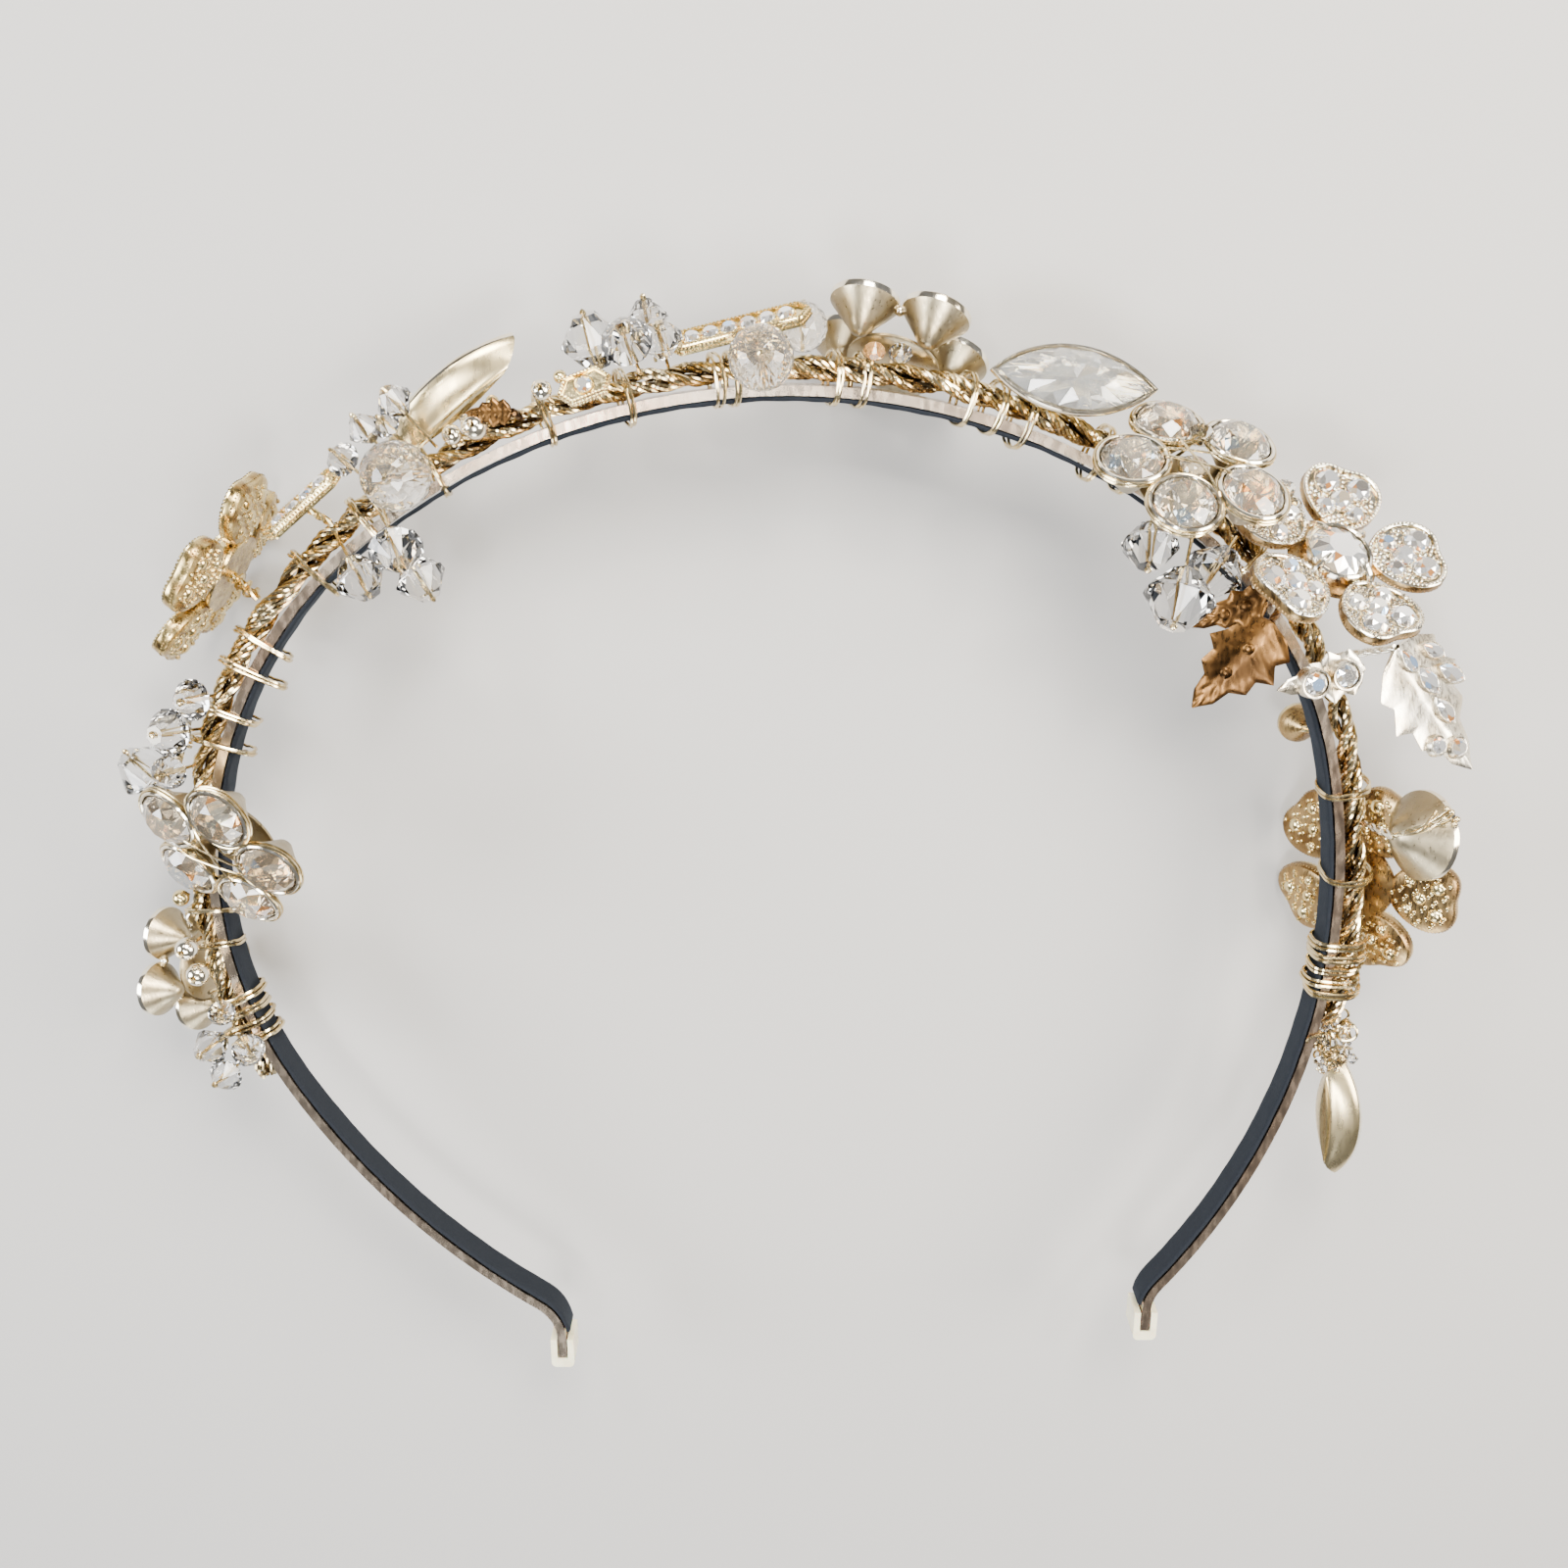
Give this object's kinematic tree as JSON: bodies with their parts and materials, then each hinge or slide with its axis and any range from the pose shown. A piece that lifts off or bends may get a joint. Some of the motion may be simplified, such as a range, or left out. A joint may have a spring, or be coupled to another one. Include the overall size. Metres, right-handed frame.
{
  "type": "bridal diadem headband",
  "caption": "Sprung metal headband with a wire vine of glass flowers, serrated leaves, pave bars, pointed stones and faceted beads along its outer side, lined with dark ribbon.",
  "frame": {"origin": "middle of the overall width and height, on the surface that the piece lies on", "axes": "+X from the wearer's right to left as the piece is seen from its front edge, +Y from the tips to the crown, +Z from the back edge to the front edge of the band"},
  "size_m": [0.1739, 0.1503, 0.035],
  "materials": {
    "silver_metal": "polished, warm silver plating",
    "pale_gold_metal": "polished, pale gold plating",
    "brown_gold_metal": "unpolished brown-gold backs",
    "cream_cap": "matt cream",
    "ribbon": "dark blue-grey ribbon",
    "crystal": "clear cut glass, foiled behind"
  },
  "bodies": {
    "root": {"band": "silver_metal", "lining": "ribbon", "tip_left": "cream_cap", "tip_right": "cream_cap", "vine": "pale_gold_metal", "bindings": "pale_gold_metal", "coil_left": "pale_gold_metal", "coil_right": "pale_gold_metal", "flower_tail": "silver_metal", "flower_tail_stones": "crystal", "flower_side": "silver_metal", "flower_side_stones": "crystal", "flower_crest": "silver_metal", "flower_crest_stones": "crystal", "flower_front": "silver_metal", "flower_front_stones": "crystal", "pave_front": "pale_gold_metal", "pave_front_stones": "crystal", "pave_front_centre": "crystal", "pave_side": "pale_gold_metal", "pave_side_stones": "crystal", "pave_side_centre": "crystal", "pave_back": "brown_gold_metal", "pave_back_stones": "crystal", "pave_back_centre": "crystal", "bar_side": "pale_gold_metal", "bar_side_stones": "crystal", "bar_crest": "pale_gold_metal", "bar_crest_stones": "crystal", "navette_side": "pale_gold_metal", "navette_side_stone": "crystal", "navette_crest": "silver_metal", "navette_crest_stone": "crystal", "navette_drop": "pale_gold_metal", "navette_drop_stone": "crystal", "leaf_inner": "brown_gold_metal", "leaf_low": "brown_gold_metal", "leaf_star": "silver_metal", "leaf_star_stones": "crystal", "leaf_spray": "silver_metal", "leaf_spray_stones": "crystal", "cup_side": "silver_metal", "cup_side_stone": "crystal", "cup_back": "brown_gold_metal", "cup_back_stone": "crystal", "sprig_plate": "pale_gold_metal", "sprig_plate_stones": "crystal", "bar_plate": "silver_metal", "beads_tail": "crystal", "beads_side": "crystal", "beads_inner_left": "crystal", "beads_crest": "crystal", "beads_inner_right": "crystal", "bead_round_side": "crystal", "beads_round_crest": "crystal", "beads_sprig": "crystal", "balls": "silver_metal", "bead_wires": "pale_gold_metal"}
  },
  "joints": []
}
